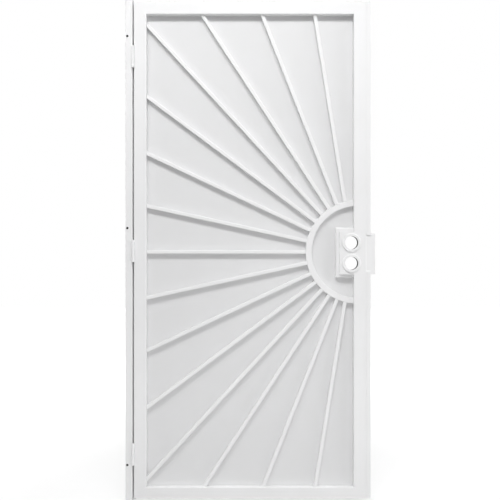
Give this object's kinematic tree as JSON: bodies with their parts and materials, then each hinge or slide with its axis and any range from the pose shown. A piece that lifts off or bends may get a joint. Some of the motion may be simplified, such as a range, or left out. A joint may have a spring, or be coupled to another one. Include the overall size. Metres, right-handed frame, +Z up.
{
  "type": "steel security screen door on its hinge jamb",
  "caption": "Hinged steel security screen door: tube frame, sunburst bars and half ring over a perforated sheet, bored lock box, on its hinge jamb.",
  "frame": {"origin": "middle of the hinge jamb's back face, which is screwed to the house", "axes": "+X from the hinge side to the lock side, +Y into the house, out of the jamb's back face, +Z up along the jamb"},
  "size_m": [1.0215, 0.0409, 2.0574],
  "materials": {
    "white_enamel_steel": "satin",
    "white_perforated_steel": "matte"
  },
  "bodies": {
    "jamb": {"hinge_jamb": "white_enamel_steel", "jamb_stop": "white_enamel_steel", "jamb_knuckle_top": "white_enamel_steel", "jamb_knuckle_middle": "white_enamel_steel", "jamb_knuckle_bottom": "white_enamel_steel"},
    "leaf": {"hinge_stile": "white_enamel_steel", "lock_stile_upper": "white_enamel_steel", "lock_stile_lower": "white_enamel_steel", "top_rail": "white_enamel_steel", "bottom_rail": "white_enamel_steel", "half_ring": "white_enamel_steel", "ray_level": "white_enamel_steel", "ray_up_1": "white_enamel_steel", "ray_up_2": "white_enamel_steel", "ray_up_3": "white_enamel_steel", "ray_up_4": "white_enamel_steel", "ray_up_5": "white_enamel_steel", "ray_up_6": "white_enamel_steel", "ray_up_7": "white_enamel_steel", "ray_down_1": "white_enamel_steel", "ray_down_2": "white_enamel_steel", "ray_down_3": "white_enamel_steel", "ray_down_4": "white_enamel_steel", "ray_down_5": "white_enamel_steel", "ray_down_6": "white_enamel_steel", "ray_down_7": "white_enamel_steel", "screen_sheet": "white_perforated_steel", "screen_stop_hinge_side": "white_enamel_steel", "screen_stop_lock_upper": "white_enamel_steel", "screen_stop_lock_lower": "white_enamel_steel", "screen_stop_top": "white_enamel_steel", "screen_stop_bottom": "white_enamel_steel", "lock_box": "white_enamel_steel", "lock_box_surround": "white_enamel_steel", "lock_collar_upper": "white_enamel_steel", "lock_collar_lower": "white_enamel_steel", "edge_flange_upper": "white_enamel_steel", "edge_flange_lower": "white_enamel_steel", "latch_guard": "white_enamel_steel", "leaf_knuckle_top": "white_enamel_steel", "leaf_knuckle_middle": "white_enamel_steel", "leaf_knuckle_bottom": "white_enamel_steel"}
  },
  "joints": [
    {"name": "leaf_swing", "type": "hinge", "parent": "jamb", "child": "leaf", "pos_m": [0.0172, -0.0346, 0], "axis": [0, 0, -1], "range_deg": [0, 170]}
  ]
}
